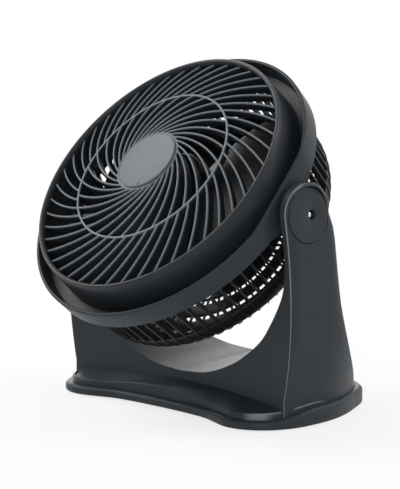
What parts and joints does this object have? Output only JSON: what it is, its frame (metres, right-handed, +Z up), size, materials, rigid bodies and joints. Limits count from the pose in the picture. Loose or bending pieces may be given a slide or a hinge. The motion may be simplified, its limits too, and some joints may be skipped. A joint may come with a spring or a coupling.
{
  "type": "air circulator fan",
  "caption": "Table air circulator fan: a round spiral-grille head with a bladed rotor, tilting between the two arms of a wide low yoke base.",
  "frame": {"origin": "on the floor, below the middle of the bounding box", "axes": "+X to the right as seen from the front, -Y to the front where the air goes, +Z up"},
  "size_m": [0.2674, 0.2234, 0.2751],
  "materials": {
    "housing": "satin charcoal moulded plastic",
    "skirt": "satin charcoal moulded plastic",
    "cap": "satin charcoal moulded plastic",
    "ring": "satin charcoal moulded plastic",
    "grille": "satin charcoal moulded plastic",
    "badge": "satin grey disc, bare",
    "basket": "matte black moulded plastic",
    "cover": "matte charcoal plastic",
    "dark_plastic": "matte black plastic",
    "rubber": "black rubber",
    "screw": "bright zinc plated steel",
    "motor_shell": "plain pressed steel",
    "winding": "laminations with varnished copper coils",
    "bearing": "ground steel",
    "shaft": "ground steel",
    "rotor_core": "steel laminations",
    "impeller": "satin dark grey plastic",
    "knob": "matte black plastic"
  },
  "bodies": {
    "base": {"yoke_housing": "housing", "base_plate": "skirt", "foot_1": "rubber", "foot_2": "rubber", "foot_3": "rubber", "foot_4": "rubber", "base_screw_1": "screw", "base_screw_2": "screw", "base_screw_3": "screw", "base_screw_4": "screw", "pivot_cap_right": "cap", "pivot_cap_left": "cap", "cap_screw_right": "screw", "cap_screw_left": "screw", "pivot_washer_right": "dark_plastic", "pivot_washer_left": "dark_plastic"},
    "head": {"ring_housing": "ring", "front_grille": "grille", "grille_badge": "badge", "rear_basket": "basket", "grille_screw_1": "screw", "grille_screw_2": "screw", "grille_screw_3": "screw", "grille_screw_4": "screw", "rear_cover": "cover", "cord_gland": "rubber", "speed_switch": "dark_plastic", "motor_rear_shell": "motor_shell", "motor_front_shell": "motor_shell", "motor_stator": "winding", "bearing_rear": "bearing", "bearing_front": "bearing", "motor_screw_1": "screw", "motor_screw_2": "screw", "motor_screw_3": "screw"},
    "rotor": {"motor_shaft": "shaft", "rotor_core": "rotor_core", "impeller": "impeller", "spinner_nut": "impeller"},
    "knob": {"speed_knob": "knob"}
  },
  "joints": [
    {"name": "head_tilt", "type": "hinge", "parent": "base", "child": "head", "pos_m": [0, -0.00584, 0.1625], "axis": [1, 0, 0], "range_deg": [-49, 41]},
    {"name": "blade_spin", "type": "hinge", "parent": "head", "child": "rotor", "pos_m": [0, -0.00584, 0.1625], "axis": [0, -0.7547, 0.6561], "continuous": true},
    {"name": "speed_select", "type": "hinge", "parent": "head", "child": "knob", "pos_m": [0, -0.00584, 0.1625], "axis": [0, 0.7547, -0.6561], "range_deg": [0, 120]}
  ]
}
